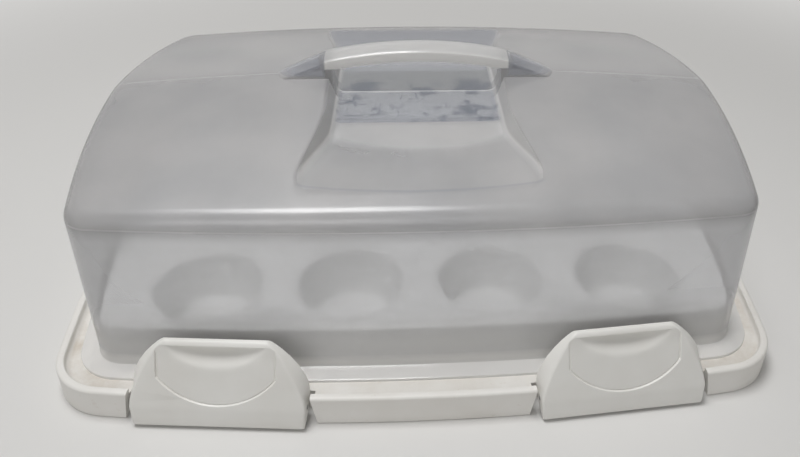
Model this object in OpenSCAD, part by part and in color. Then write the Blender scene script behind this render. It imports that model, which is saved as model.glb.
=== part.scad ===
// Cake carrier: a low tray, a loose insert with cup wells, and a domed translucent lid.
// The lid turns on two rear clips and is held at the front by two latches.
// Origin at the centre of the tray's underside, X to the right, Y to the back, Z up, millimetres.

/* [Tray] */
// Length of the tray, left to right
tray_l = 457.2; // [440:1:475]
// Depth of the tray, front to back
tray_d = 354; // [340:1:370]
// Outward bow of the short sides
tray_bow_x = 8.2; // [4:0.2:12]
// Outward bow of the long sides
tray_bow_y = 12.4; // [8:0.2:16]
// Corner radius of the tray
tray_r = 37; // [25:1:45]
// Height of the rim
rim_h = 20; // [18:0.5:24]
// Width of the rim's top
rim_w = 4.8; // [3.5:0.1:6]
// Height of the ledge that the lid stands on
ledge_h = 14; // [13:0.5:16]
// Wall thickness of the tray
tray_t = 2.5; // [2:0.1:3.2]

/* [Lid] */
// Ledge left outside the lid at the short sides
ledge_x = 19.4; // [17:0.2:24]
// Ledge left outside the lid at the long sides
ledge_y = 29.1; // [27:0.2:34]
// Outward bow of the lid's short sides
lid_bow_x = 10.4; // [6:0.2:13]
// Outward bow of the lid's long sides
lid_bow_y = 8.7; // [5:0.2:12]
// Corner radius of the lid's foot
lid_r = 20; // [17:1:26]
// Wall thickness of the lid
lid_t = 2; // [1.6:0.1:2.6]
// Draft of the lid's wall, from foot to shoulder
lid_draft = 1.7; // [1:0.1:2.5]
// Radius of the shoulder between wall and roof
shoulder_r = 9; // [6:0.5:12]
// Height of the roof at the corners
corner_h = 117; // [112:1:125]
// Rise of the gable from corner to ridge
gable_rise = 19.1; // [15:0.5:24]
// Camber of the roof between eave and ridge
roof_camber = 2.8; // [1:0.2:5]
// Rise of the ridge towards the middle of the length
ridge_crown = 9.4; // [5:0.2:12]
// Rise of the long eaves towards the middle of the length
eave_crown = 6.6; // [3:0.2:9]
// Width of the flange at the lid's foot
flange_w = 11; // [9:0.5:13]
// Thickness of the flange
flange_t = 2.3; // [2:0.1:2.8]

/* [Handle] */
// Half length of the bar between its fins
bar_half = 61; // [57:0.5:66]
// Depth of the bar, front to back
bar_d = 22; // [18:0.5:26]
// Height of the bar's crown at the middle
bar_top = 165; // [160:0.5:172]
// Drop of the bar from its middle to its ends
bar_arch = 6.6; // [4:0.2:9]
// Thickness of the bar at its edges
bar_t = 6; // [5:0.2:8]
// Height of the crown above the bar's long edges
bar_crown = 3.2; // [1:0.2:4]
// Half length over the two fins
fin_half = 94; // [88:0.5:100]
// Half width of the finger recess at the bar
recess_half = 55.7; // [50:0.5:58]
// Half width added to the recess at its mouth
recess_flare = 17; // [10:0.5:22]
// Height of the recess floor under the bar
recess_floor = 129; // [126:0.5:132]
// Height of the valley across the recess floor
valley_h = 124.8; // [123:0.2:126]
// Sideways slope of the recess walls, per unit of height
recess_slope = 0.35; // [0.2:0.05:0.5]

/* [Insert] */
// Height of the insert's deck
deck_h = 43; // [38:0.5:46]
// Wall thickness of the insert
insert_t = 1.8; // [1.4:0.1:2.4]
// Number of wells along the length
wells_x = 4; // [3:1:4]
// Number of wells along the depth
wells_y = 3; // [2:1:3]
// Spacing of the wells along the length
well_pitch_x = 89.4; // [86:0.2:93]
// Spacing of the wells along the depth
well_pitch_y = 99; // [84:0.5:100]
// Radius of a well's mouth
well_r = 33.5; // [30:0.5:36]
// Radius of a well's bottom
well_foot_r = 25; // [20:0.5:28]
// Depth of a well
well_depth = 31; // [24:0.5:33]

/* [Latches] */
// Distance of each latch's middle from the carrier's middle, as a share of the tray's length
latch_place = 0.257; // [0.23:0.001:0.27]
// Height of the latch
latch_h = 51.5; // [51:0.5:56]
// Half width of the latch at its widest
latch_half = 51; // [46:0.5:54]
// Skin thickness of the latch
latch_t = 2.2; // [1.8:0.1:2.6]
// Radius of the thumb scoop's outline
thumb_r = 31; // [26:0.2:32]
// Depth of the thumb scoop
thumb_depth = 6.5; // [5:0.1:7.5]
// Radius of the hinge pins
pin_r = 1.5; // [1.2:0.1:1.6]
// Height of the hinge pins
pin_h = 12.5; // [12:0.1:13]
// Distance of the latch pins inside the tray's outline
pin_in = 2.5; // [2:0.1:3.5]

/* [Rear clips] */
// Distance of each clip's middle from the carrier's middle, as a share of the tray's length
clip_place = 0.1531; // [0.12:0.0001:0.19]
// Half width of a clip
clip_half = 26; // [23:0.5:30]
// Distance of the lid's hinge line inside the tray's rear outline
clip_in = 4.7; // [4.2:0.1:5.5]
// Radius of the pegs that join a clip to the flange
peg_r = 2; // [1.5:0.1:2.4]

/* [Hidden] */

// Named clearances
fit_pin = 0.02;
fit_turn = 0.08;
fit_peg = 0.08;
fit_seat = 0.1;
fit_side = 1;
fit_insert = 0.5;
lid_to_insert = 2.2;

latch_x = latch_place * tray_l;
clip_x = clip_place * tray_l;
lid_l = tray_l - 2 * ledge_x;
lid_d = tray_d - 2 * ledge_y;
flange_top = ledge_h + flange_t;
over = 1;
lug_r = pin_r + 1.3;
lug_w = 8;
hook_gap = 0.9;

// Points along one bowed side, offset outwards by r, from left to right in front of the origin
function bowed_side(a, b, bow, r, n) = [
    for (i = [0:n])
        let (t = 2 * i / n - 1, s = 2 * bow * t / a, m = sqrt(1 + s * s))
            [a * t + r * s / m, -b - bow * (1 - t * t) - r / m]
];
function arc(c, r, from, to, n) = [for (i = [1:n - 1]) let (w = from + (to - from) * i / n) c + r * [cos(w), sin(w)]];
function quarter_turn(pts) = [for (p = pts) [-p[1], p[0]]];

// Bowed rectangle with round corners: length, depth, bows, corner radius, and an offset outwards
function bowed_outline(l, d, bow_x, bow_y, r, grow = 0, fine = 1) =
    let (
        a = l / 2 - bow_x - r,
        b = d / 2 - bow_y - r,
        turn_x = atan(2 * bow_y / a),
        turn_y = atan(2 * bow_x / b),
        half = concat(
            bowed_side(a, b, bow_y, r + grow, 12 * fine),
            arc([a, -b], r + grow, turn_x - 90, -turn_y, 7),
            quarter_turn(bowed_side(b, a, bow_x, r + grow, 8)),
            arc([a, b], r + grow, turn_y, 90 - turn_x, 7)
        )
    ) concat(half, -half);
function tray_outline(grow = 0) = bowed_outline(tray_l, tray_d, tray_bow_x, tray_bow_y, tray_r, grow);
function lid_outline(grow = 0, fine = 1) = bowed_outline(lid_l, lid_d, lid_bow_x, lid_bow_y, lid_r, grow, fine);

// How far a long side of an outline has drawn in at x, and its slope there
function draw_in(x, l, bow_x, bow_y, r) = bow_y * pow(x / (l / 2 - bow_x - r), 2);
function tray_side_y(x) = tray_d / 2 - draw_in(x, tray_l, tray_bow_x, tray_bow_y, tray_r);
function tray_side_turn(x) = atan(2 * tray_bow_y * x / pow(tray_l / 2 - tray_bow_x - tray_r, 2));

hinge_y = tray_side_y(clip_x) - clip_in;

module slab(pts, z0, z1) {
    translate([0, 0, z0])
        linear_extrude(z1 - z0)
            polygon(pts);
}

// Closed skin over loops of points, each loop running anticlockwise as seen from the last one
module skin(loops) {
    n = len(loops[0]);
    last = (len(loops) - 1) * n;
    sides = [
        for (j = [0:len(loops) - 2], i = [0:n - 1])
            let (a = j * n + i, b = j * n + (i + 1) % n)
                each [[a, a + n, b + n], [a, b + n, b]]
    ];
    first_cap = [for (i = [1:n - 2]) [0, i, i + 1]];
    last_cap = [for (i = [1:n - 2]) [last, last + i + 1, last + i]];
    polyhedron(points = [for (loop = loops) each loop], faces = concat(sides, first_cap, last_cap), convexity = 6);
}

// A flat profile of (outwards, up) points, widened along the side of the tray
module widened(u0, u1) {
    translate([u0, 0, 0])
        rotate([90, 0, 90])
            linear_extrude(u1 - u0)
                children();
}

// Local frame of a front latch: X along the tray's outline, Y inwards from it
module at_latch(side) {
    translate([side * latch_x, -tray_side_y(latch_x), 0])
        rotate(side * tray_side_turn(latch_x))
            children();
}

// Local frame of a rear clip: X along the hinge line, Y inwards from it
module at_clip(side) {
    translate([side * clip_x, hinge_y, 0])
        rotate(180)
            children();
}

// Tray
notch_u = latch_half + fit_side;
notch_in = 13;
clip_notch_u = clip_half + fit_side;
clip_notch_in = 11.3;
notch_spread = 4;

module tray_mass() {
    difference() {
        slab(tray_outline(), 0, rim_h);
        slab(tray_outline(-rim_w), ledge_h, rim_h + over);
        slab(lid_outline(-lid_t - lid_to_insert + fit_insert), tray_t, rim_h + over);
    }
}

module tray_hollow() {
    difference() {
        slab(tray_outline(-tray_t), -over, ledge_h - tray_t);
        slab(lid_outline(-lid_t - lid_to_insert + fit_insert + tray_t), -2 * over, ledge_h);
        for (side = [-1, 1]) {
            at_latch(side)
                translate([-notch_u - notch_spread - tray_t, -tray_d / 8, -2 * over])
                    cube([2 * (notch_u + notch_spread + tray_t), tray_d / 8 + notch_in + tray_t, ledge_h + 2 * over]);
            at_clip(side)
                translate([-clip_notch_u - tray_t, -tray_d / 8, -2 * over])
                    cube([2 * (clip_notch_u + tray_t), tray_d / 8 + clip_notch_in + tray_t, ledge_h + 2 * over]);
        }
    }
}

// Notch whose ends spread towards the floor
module latch_notch() {
    rotate([90, 0, 0])
        translate([0, 0, -notch_in])
            linear_extrude(notch_in + tray_d / 8)
                polygon([
                    [-notch_u - notch_spread, -over], [notch_u + notch_spread, -over],
                    [notch_u, rim_h + over], [-notch_u, rim_h + over]
                ]);
}

module clip_notch() {
    translate([-clip_notch_u, -tray_d / 8, -over])
        cube([2 * clip_notch_u, tray_d / 8 + clip_notch_in, rim_h + 2 * over]);
}

// Hinge lug in the plane across the pin: pin centre at (y, z), root at depth root
module lug_profile(y, root) {
    translate([y, pin_h])
        circle(lug_r, $fn = 48);
    polygon([
        [y, pin_h - lug_r], [root + over / 2, ledge_h - tray_t - over],
        [root + over / 2, ledge_h - over], [y, pin_h + lug_r]
    ]);
}

module pin_bore(y, half, r) {
    translate([-half, y, pin_h])
        rotate([0, 90, 0])
            cylinder(r = r, h = 2 * half, $fn = 48);
}

latch_lug_u = 36;
clip_lug_u = 17;
clip_lug_half = 3;

module base_tray() {
    color("whitesmoke")
        difference() {
            union() {
                difference() {
                    tray_mass();
                    tray_hollow();
                    for (side = [-1, 1]) {
                        at_latch(side) latch_notch();
                        at_clip(side) clip_notch();
                    }
                }
                for (side = [-1, 1], lug = [-1, 1]) {
                    at_latch(side)
                        widened(lug * latch_lug_u - lug_w / 2, lug * latch_lug_u + lug_w / 2)
                            lug_profile(pin_in, notch_in);
                    at_clip(side)
                        widened(lug * clip_lug_u - clip_lug_half, lug * clip_lug_u + clip_lug_half)
                            lug_profile(0, clip_notch_in);
                }
            }
            for (side = [-1, 1]) {
                at_latch(side) pin_bore(pin_in, latch_half, pin_r + fit_pin);
                at_clip(side) pin_bore(0, clip_half, pin_r + fit_pin);
            }
        }
}

// Insert
function insert_outline(grow = 0) = lid_outline(-lid_t - lid_to_insert + grow);
function well_places() = [
    for (i = [0:wells_x - 1], j = [0:wells_y - 1])
        [(i - (wells_x - 1) / 2) * well_pitch_x, (j - (wells_y - 1) / 2) * well_pitch_y]
];
well_ring_r = 0.9;
well_ring_gap = 2.6;

module well_shell() {
    rotate_extrude($fn = 72)
        polygon([
            [0, deck_h - well_depth - insert_t], [well_foot_r, deck_h - well_depth - insert_t],
            [well_r + insert_t, deck_h - insert_t / 2], [well_r + insert_t, deck_h], [well_r, deck_h],
            [well_foot_r, deck_h - well_depth], [0, deck_h - well_depth]
        ]);
    translate([0, 0, deck_h])
        rotate_extrude($fn = 72)
            translate([well_r + well_ring_gap + well_ring_r, 0])
                intersection() {
                    circle(well_ring_r, $fn = 24);
                    translate([-over, 0]) square(2 * over);
                }
}

module cupcake_tray() {
    color("gainsboro")
        union() {
            difference() {
                slab(insert_outline(), tray_t, deck_h);
                slab(insert_outline(-insert_t), 0, deck_h - insert_t);
                for (p = well_places())
                    translate([p[0], p[1], 0])
                        cylinder(r = well_r + insert_t / 2, h = deck_h + over, $fn = 72);
            }
            for (p = well_places())
                translate([p[0], p[1], 0])
                    well_shell();
        }
}

// Lid
function roof_z(x, y) =
    let (s = min(1, abs(y) / (lid_d / 2 - lid_draft)), c = 1 - pow(min(1, abs(x) / (lid_l / 2)), 2))
        corner_h + gable_rise * (1 - s) + 4 * roof_camber * s * (1 - s) + c * (ridge_crown * (1 - s) + eave_crown * s);

// Loop of the dome: outline drawn in by inset and t, scaled by f, on the roof less drop and t
function dome_loop(inset, drop, f, t) = [
    for (p = lid_outline(-inset - t, 2)) [f * p[0], f * p[1], roof_z(f * p[0], f * p[1]) - drop - t]
];
function dome_loops(t, foot_z) =
    let (r = shoulder_r - t)
        concat(
            [[for (p = lid_outline(-t, 2)) [p[0], p[1], foot_z]]],
            [for (w = [0:18:90]) dome_loop(lid_draft + r * (1 - cos(w)), r * (1 - sin(w)), 1, t)],
            [for (f = [0.94, 0.88, 0.82, 0.75, 0.66, 0.55, 0.4, 0.22, 0.01]) dome_loop(lid_draft + r, 0, f, t)]
        );

// Finger recess, cut as one tunnel from front to back under the bar
recess_flat = 46;
recess_valley = 76;
recess_valley_bow = 16;
recess_mouth = 127;
recess_mouth_bow = 5;
recess_end = 142;
recess_mouth_h = 127.8;
recess_corner = 0.12;
recess_corner_h = 5;
recess_top = bar_top + 10;

function smooth_step(t) = let (k = min(1, max(0, t))) k * k * (3 - 2 * k);
function recess_w(y) = recess_half + recess_flare * smooth_step((abs(y) - recess_flat) / (recess_mouth - recess_flat));
function row_y(k, c) = lookup(abs(k), [
    [0, 0], [1, recess_flat], [2, recess_valley - recess_valley_bow * c * c],
    [3, recess_mouth - recess_mouth_bow * c * c], [4, recess_end]
]) * sign(k);
function row_z(k) = lookup(abs(k), [
    [0, recess_floor], [1, recess_floor], [2, valley_h], [3, recess_mouth_h], [4, recess_mouth_h + over]
]);
function corner_lift(c) =
    let (e = max(0, (abs(c) - 1 + recess_corner) / recess_corner)) recess_corner_h * (1 - sqrt(1 - min(1, e * e)));
function recess_loop(k, t) = concat(
    [
        for (c = [1, 0.996, 0.98, 0.95, 0.88, 0.7, 0.45, 0.2, -0.2, -0.45, -0.7, -0.88, -0.95, -0.98, -0.996, -1])
            let (y = row_y(k, c)) [c * (recess_w(y) + t), y, row_z(k) - t + corner_lift(c)]
    ],
    [
        for (c = [-1, 1])
            let (y = row_y(k, c), up = recess_top - row_z(k) + t - recess_corner_h)
                [c * (recess_w(y) + t + recess_slope * up), y, recess_top]
    ]
);

module recess(t) {
    skin([for (k = [-4, -3, -2.6, -2.3, -2, -1.5, -1, 0, 1, 1.5, 2, 2.3, 2.6, 3, 4]) recess_loop(k, t)]);
}

// Bar and fins: cross sections along the ridge, shrunk by t for the hollow of the fins
function bar_z(x) = bar_top - bar_arch * pow(x / bar_half, 2);
function fin_z(x) =
    let (e = (abs(x) - bar_half) / (fin_half - bar_half), end = roof_z(fin_half, 0) + over)
        bar_z(bar_half) * (1 - e) + end * e;
function bar_section(x, z_top, z_bottom, d) = [
    for (p = [
        [-d / 2, z_bottom], [d / 2, z_bottom], [d / 2, z_top - bar_crown], [d / 2 - over, z_top - bar_crown + over],
        [d / 4, z_top - bar_crown / 4], [0, z_top], [-d / 4, z_top - bar_crown / 4],
        [over - d / 2, z_top - bar_crown + over], [-d / 2, z_top - bar_crown]
    ]) [x, p[0], p[1]]
];
function fin_d(x) = bar_d - 3 * max(0, (abs(x) - bar_half) / (fin_half - bar_half));

module bar() {
    skin([
        for (x = [-bar_half:bar_half / 8:bar_half])
            bar_section(x, bar_z(x), bar_z(x) - bar_crown - bar_t, bar_d)
    ]);
}

module fin(side, t) {
    xs = [for (i = [0:4]) bar_half - 4 + (fin_half - t - bar_half + 4) * i / 4];
    rotate(side > 0 ? 0 : 180)
        skin([
            for (x = xs)
                bar_section(x, (x < bar_half ? bar_z(x) : fin_z(x)) - t, roof_z(x, 0) - 3 * lid_t, fin_d(x) - 2 * t)
        ]);
}

clip_peg_u = 14;
clip_peg_v = 18;

module lid() {
    color("lightsteelblue", 0.45)
        difference() {
            union() {
                difference() {
                    skin(dome_loops(0, ledge_h));
                    recess(0);
                }
                bar();
                for (side = [-1, 1]) fin(side, 0);
                slab(lid_outline(flange_w), ledge_h, flange_top);
            }
            difference() {
                union() {
                    skin(dome_loops(lid_t, ledge_h - over));
                    for (side = [-1, 1]) fin(side, lid_t);
                }
                recess(lid_t);
            }
            for (side = [-1, 1], peg = [-1, 1])
                at_clip(side)
                    translate([peg * clip_peg_u, clip_peg_v, ledge_h - over])
                        cylinder(r = peg_r + fit_peg, h = flange_t + 2 * over, $fn = 48);
        }
}

// Latches
latch_foot_z = 1.6;
latch_brow = 12.2;
latch_face = [[-5.2, 2.6], [-5.3, 5], [-3.2, 14], [0.4, 24], [5, 36], [10.8, latch_h - 1.5]];
function face_y(z) = lookup(z, [for (p = latch_face) [p[1], p[0]]]);
latch_back = [[15, latch_h], [13.4, 44], [11.6, 34], [11, 17], [6, 16], [5.8, 12], [3, 8.5], [-1.5, 4]];
face_turn = 21;
thumb_h = 45;
thumb_y = face_y(thumb_h);
thumb_brim = 2.5;
brim_slope = 0.6;
brim_flat = 1;
hook_h = 17.5;
hook_t = 2.4;
hook_half = 24;
hook_root = 10;
cheek_rib_u = 42;
rib_foot = 9;
eye_r = pin_r + 1.9;

// How far in from the tray's outline the latch hook reaches: short of the flange's nearest edge
hook_tip = ledge_y - flange_w - draw_in(latch_x, tray_l, tray_bow_x, tray_bow_y, tray_r)
    + draw_in(latch_x, lid_l, lid_bow_x, lid_bow_y, lid_r) - hook_gap;
function shifted(pts, by) = [for (p = pts) p + by];
function reversed(pts) = [for (i = [len(pts) - 1:-1:0]) pts[i]];
function latch_half_at(z) = latch_half - lookup(z, [
    [0, 2.2], [latch_foot_z, 1.8], [6, 0.8], [12, 0.2], [18, 0], [24, 0.4], [30, 2.2], [36, 5.2],
    [42, 9.8], [46, 13.8], [49, 17.4], [latch_h, 21.4]
]);
latch_heights = [latch_foot_z, 6, 12, 18, 24, 30, 36, 42, 46, 49, latch_h];
function latch_front(inset) = concat(
    [for (z = latch_heights) [latch_half_at(z) - inset, z]],
    [for (z = reversed(latch_heights)) [inset - latch_half_at(z), z]]
);

module across(y0, y1) {
    translate([0, y1, 0])
        rotate([90, 0, 0])
            linear_extrude(y1 - y0)
                children();
}

// Ball that hollows the face, under the brim's sloping underside
module thumb_ball(grow) {
    sphere_r = (thumb_r * thumb_r + thumb_depth * thumb_depth) / (2 * thumb_depth);
    reach = sphere_r - thumb_depth;
    brim_z = latch_h - thumb_brim;
    brim_y = face_y(brim_z);
    intersection() {
        translate([0, thumb_y - reach * cos(face_turn), thumb_h + reach * sin(face_turn)])
            sphere(sphere_r + grow, $fn = 160);
        widened(-latch_half, latch_half)
            polygon([
                [-latch_half, 0], [latch_half, 0], [latch_half, brim_z + grow - brim_slope * (latch_half - brim_y)],
                [brim_y + brim_flat, brim_z + grow], [-latch_half, brim_z + grow]
            ]);
    }
}

// Skin of the scoop where it bulges behind the latch's back
module thumb_bowl() {
    intersection() {
        thumb_ball(latch_t);
        widened(-latch_half, latch_half)
            polygon(concat([[-3.6, latch_foot_z]], latch_face, [[latch_brow, latch_h], [latch_half, latch_h], [latch_half, latch_foot_z]]));
        across(-latch_half, latch_half)
            polygon(latch_front(0));
    }
}

module latch_hollow() {
    front = shifted(latch_face, [latch_t, 0]);
    difference() {
        intersection() {
            widened(-latch_half, latch_half)
                polygon(concat([[-3.1, -over]], front, [[latch_half, latch_h - 2], [latch_half, -over]]));
            across(-latch_half, latch_half)
                polygon(concat([[latch_half - latch_t - 2, -over]], latch_front(latch_t), [[2 + latch_t - latch_half, -over]]));
            translate([-latch_half, -latch_half, -over])
                cube([2 * latch_half, 2 * latch_half, latch_h - latch_t + over]);
        }
        thumb_ball(latch_t);
    }
}

// Point in the middle of the face's skin at height z
function in_skin(z) = [face_y(z) + latch_t / 2, z];

module latch_rib() {
    translate([pin_in, pin_h])
        circle(eye_r, $fn = 48);
    polygon([
        in_skin(rib_foot), [pin_in, pin_h - eye_r], [pin_in + eye_r, pin_h],
        [hook_root, hook_h + hook_t], in_skin(hook_h + 2 * hook_t)
    ]);
}

module latch(side) {
    color("whitesmoke")
        at_latch(side)
            difference() {
                union() {
                    difference() {
                        union() {
                            intersection() {
                                widened(-latch_half, latch_half)
                                    polygon(concat([[-3.6, latch_foot_z]], latch_face, [[latch_brow, latch_h]], latch_back));
                                across(-latch_half, latch_half)
                                    polygon(latch_front(0));
                            }
                            thumb_bowl();
                        }
                        thumb_ball(0);
                        latch_hollow();
                    }
                    for (rib = [-1, 1])
                        widened(rib * cheek_rib_u - 1, rib * cheek_rib_u + 1)
                            latch_rib();
                    widened(-cheek_rib_u, cheek_rib_u)
                        polygon([
                            in_skin(hook_h), [hook_root + over, hook_h],
                            [hook_root + over, hook_h + hook_t], in_skin(hook_h + hook_t)
                        ]);
                    widened(-hook_half, hook_half)
                        polygon([
                            [hook_root, hook_h], [hook_tip, hook_h],
                            [hook_tip, hook_h + hook_t], [hook_root, hook_h + hook_t]
                        ]);
                }
                pin_bore(pin_in, latch_half + over, pin_r + fit_turn);
            }
}

module latch_left() { latch(-1); }
module latch_right() { latch(1); }

module latch_pin(side) {
    color("silver")
        at_latch(side)
            pin_bore(pin_in, latch_half - 0.6, pin_r);
}

module latch_pin_left() { latch_pin(-1); }
module latch_pin_right() { latch_pin(1); }

// Rear clips: an arm that stands out from the hinge line, bends over it and lies on the flange
clip_t = 2.2;
clip_top = 21.2;
clip_out = 5.8;
clip_foot = 5;
clip_end = 21;
clip_land = 6.5;

// Knuckles between and outside the tray's two lugs, with a gap beside each lug
knuckle_gap = 1.5;
knuckle_to = clip_lug_u - clip_lug_half - knuckle_gap;
end_knuckle_half = (clip_half - over - clip_lug_u - clip_lug_half - knuckle_gap) / 2;
end_knuckle_u = clip_half - over - end_knuckle_half;

module clip_profile() {
    polygon([
        [clip_t - clip_out, clip_foot + clip_t / 6], [0.86 * -clip_out, clip_foot], [-clip_out, 1.2 * clip_foot],
        [-clip_out, 0.61 * clip_top], [-0.84 * clip_out, 0.83 * clip_top], [-clip_out / 2, 0.96 * clip_top],
        [0, clip_top], [clip_end, clip_top], [clip_end, flange_top + fit_seat],
        [clip_end - clip_land, flange_top + fit_seat], [clip_end - clip_land, clip_top - clip_t],
        [-0.17 * clip_out, clip_top - clip_t], [-0.45 * clip_out, 0.8 * clip_top], [clip_t - clip_out, 0.6 * clip_top]
    ]);
}

module clip_knuckle() {
    translate([0, pin_h])
        circle(lug_r, $fn = 48);
    polygon([
        [0, pin_h - lug_r], [-0.7 * clip_out, pin_h - lug_r], [-0.7 * clip_out, 0.75 * clip_top],
        [-0.17 * clip_out, clip_top - over], [lug_r, clip_top - over], [lug_r, pin_h]
    ]);
}

module hinge_clip(side) {
    color("whitesmoke")
        at_clip(side)
            difference() {
                union() {
                    widened(-clip_half, clip_half)
                        clip_profile();
                    widened(-knuckle_to, knuckle_to)
                        clip_knuckle();
                    for (end = [-1, 1])
                        widened(end * end_knuckle_u - end_knuckle_half, end * end_knuckle_u + end_knuckle_half)
                            clip_knuckle();
                    for (peg = [-1, 1])
                        translate([peg * clip_peg_u, clip_peg_v, ledge_h + fit_seat])
                            cylinder(r = peg_r, h = clip_top - ledge_h - over, $fn = 48);
                }
                pin_bore(0, clip_half + over, pin_r + fit_turn);
            }
}

module hinge_clip_left() { hinge_clip(-1); }
module hinge_clip_right() { hinge_clip(1); }

module hinge_pin(side) {
    color("silver")
        at_clip(side)
            pin_bore(0, clip_half - 0.6, pin_r);
}

module hinge_pin_left() { hinge_pin(-1); }
module hinge_pin_right() { hinge_pin(1); }

base_tray();
cupcake_tray();
lid();
latch_left();
latch_right();
latch_pin_left();
latch_pin_right();
hinge_clip_left();
hinge_clip_right();
hinge_pin_left();
hinge_pin_right();
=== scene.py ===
"""A cake carrier with a domed, hinged lid, dressed around its CAD frame.

Lengths are in millimetres, and loft() turns them into metres.
"""

import math
from functools import partial

import bmesh
import bpy
from mathutils import Matrix, Vector


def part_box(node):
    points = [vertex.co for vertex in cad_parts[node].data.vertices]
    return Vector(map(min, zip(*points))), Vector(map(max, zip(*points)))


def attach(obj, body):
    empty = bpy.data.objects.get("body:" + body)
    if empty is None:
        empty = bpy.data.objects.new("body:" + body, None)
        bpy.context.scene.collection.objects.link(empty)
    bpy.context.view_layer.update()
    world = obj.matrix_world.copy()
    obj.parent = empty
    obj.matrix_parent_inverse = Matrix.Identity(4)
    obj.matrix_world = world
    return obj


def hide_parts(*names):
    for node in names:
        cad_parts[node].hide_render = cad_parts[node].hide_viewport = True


MM = 0.001

# The camera's place and aim, found from the carrier's own corners in the picture
CAMERA_PLACE = (-8.2, -471.2, 349.8)
CAMERA_YAW = 4.42
CAMERA_PITCH = 30.65
CAMERA_ROLL = 1.29
CAMERA_LENS = 33.25
CAMERA_SHIFT = (-0.0695, -0.0817)

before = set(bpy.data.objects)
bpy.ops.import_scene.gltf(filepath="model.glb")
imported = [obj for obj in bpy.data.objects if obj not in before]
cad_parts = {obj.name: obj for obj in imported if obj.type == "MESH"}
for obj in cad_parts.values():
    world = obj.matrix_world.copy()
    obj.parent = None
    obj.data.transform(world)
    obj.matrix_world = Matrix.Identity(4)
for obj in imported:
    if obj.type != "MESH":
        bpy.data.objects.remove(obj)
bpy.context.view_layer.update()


def node_size(node):
    """Length, depth and height of a CAD node."""
    low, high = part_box(node)
    return [(high[axis] - low[axis]) / MM for axis in range(3)]


# Tray
TRAY_LENGTH, TRAY_DEPTH, RIM_HEIGHT = node_size("base_tray")
TRAY_BOW_X = 8.2
TRAY_BOW_Y = 12.4
TRAY_CORNER = 37
TRAY_WALL = 2.5
RIM_WIDTH = 4.8
RIM_ROUND = 1.8
RIM_EDGE = 1
FOOT_EDGE = 0.8
LEDGE_HEIGHT = 14
LEDGE_COVE = 3.4
PAN_COVE = 2
PAN_GAP = 0.5
PAN_LIP = ((0.8, 0), (0.2, 0.3), (0, 1))

# Cutting forms reach this far past what they cut
PAST = 40

# Lid
FLANGE_WIDTH = 11
FLANGE_TOP = 16.3
FLANGE_EDGE = 0.8
LID_LENGTH = node_size("lid")[0] - 2 * FLANGE_WIDTH
LID_DEPTH = node_size("lid")[1] - 2 * FLANGE_WIDTH
LID_BOW_X = 10.4
LID_BOW_Y = 8.7
LID_CORNER = 20
LID_WALL = 2
LID_DRAFT = 1.7
DOME_SCALES = (0.97, 0.94, 0.905, 0.865, 0.82, 0.77, 0.72, 0.66, 0.6, 0.53, 0.46, 0.38, 0.3, 0.2, 0.1, 0.01)
WALL_SHARES = (0.12, 0.3, 0.5, 0.7, 0.88)
SHOULDER = 9
CORNER_HEIGHT = 117
GABLE_RISE = 19.1
ROOF_CAMBER = 2.8
RIDGE_CROWN = 9.4
EAVE_CROWN = 6.6
RIDGE_SOFTNESS = 3

# Handle and the finger recess under it
BAR_HALF = 61
BAR_DEPTH = 22
BAR_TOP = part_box("lid")[1].z / MM
BAR_ARCH = 6.6
BAR_THICKNESS = 6
BAR_CROWN = 3.2
BAR_CROWN_SHARE = 0.83
BAR_EDGE = 1.2
FIN_HALF = 94
FIN_TIP = 7
FIN_TAPER = 3
FIN_ROOT = 6
FIN_END = 0.45
RECESS_HALF = 55.7
RECESS_FLARE = 17
RECESS_FLOOR = 129
RECESS_VALLEY = 124.8
RECESS_MOUTH = 127.8
RECESS_SLOPE = 0.35
RECESS_CORNER = 5
RECESS_FLAT = 0.88
RECESS_ACROSS = (1, 0.998, 0.99, 0.975, 0.955, 0.93, 0.9, 0.86, 0.8, 0.7, 0.55, 0.37, 0.18)
RECESS_ROWS = (0, 46, 76, 127, 142)
VALLEY_BOW = 16
MOUTH_BOW = 5

# Insert
DECK_HEIGHT = 43
INSERT_WALL = 1.8
INSERT_EDGE = 2
INSERT_INSET = LID_WALL + 2.2
WELL_COLUMNS = 4
WELL_ROWS = 3
WELL_PITCH_X = 89.4
WELL_PITCH_Y = 99
WELL_RADIUS = 33.5
WELL_FOOT = 25
WELL_DEPTH = 31
WELL_LIP = 2.2
WELL_ROUND = 3
BEAD_PLACE = WELL_RADIUS + 3.5
BEAD_RADIUS = 0.9

# Latches, their hinge and the notches that they swing in
LATCH_PLACE = 0.257 * TRAY_LENGTH
LATCH_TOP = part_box("latch_left")[1].z / MM
LATCH_HALF = 51
LATCH_SKIN = 2.2
LATCH_ROUNDS = (1.6, 1.6, 0.8, 0.8)
LATCH_NOTCH_HALF = LATCH_HALF + 1
LATCH_NOTCH_LEAN = 4
LATCH_NOTCH_DEPTH = 13
LATCH_LUG_PLACE = 36
LATCH_LUG_HALF = 4
LUG_SKIN = 1.3
LUG_SINK = 0.5
PIN_RADIUS = 1.5
PIN_HEIGHT = 12.5
PIN_INSET = 2.5
PIN_PLAY = 0.1
EYE_RADIUS = PIN_RADIUS + 1.9
RIB_PLACE = 42
RIB_HALF = 1
RIB_HEIGHTS = (9, 22.3)
HOOK_HEIGHT = 17.5
HOOK_THICKNESS = 2.4
HOOK_ROOT = 10
HOOK_HALF = 24

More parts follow.
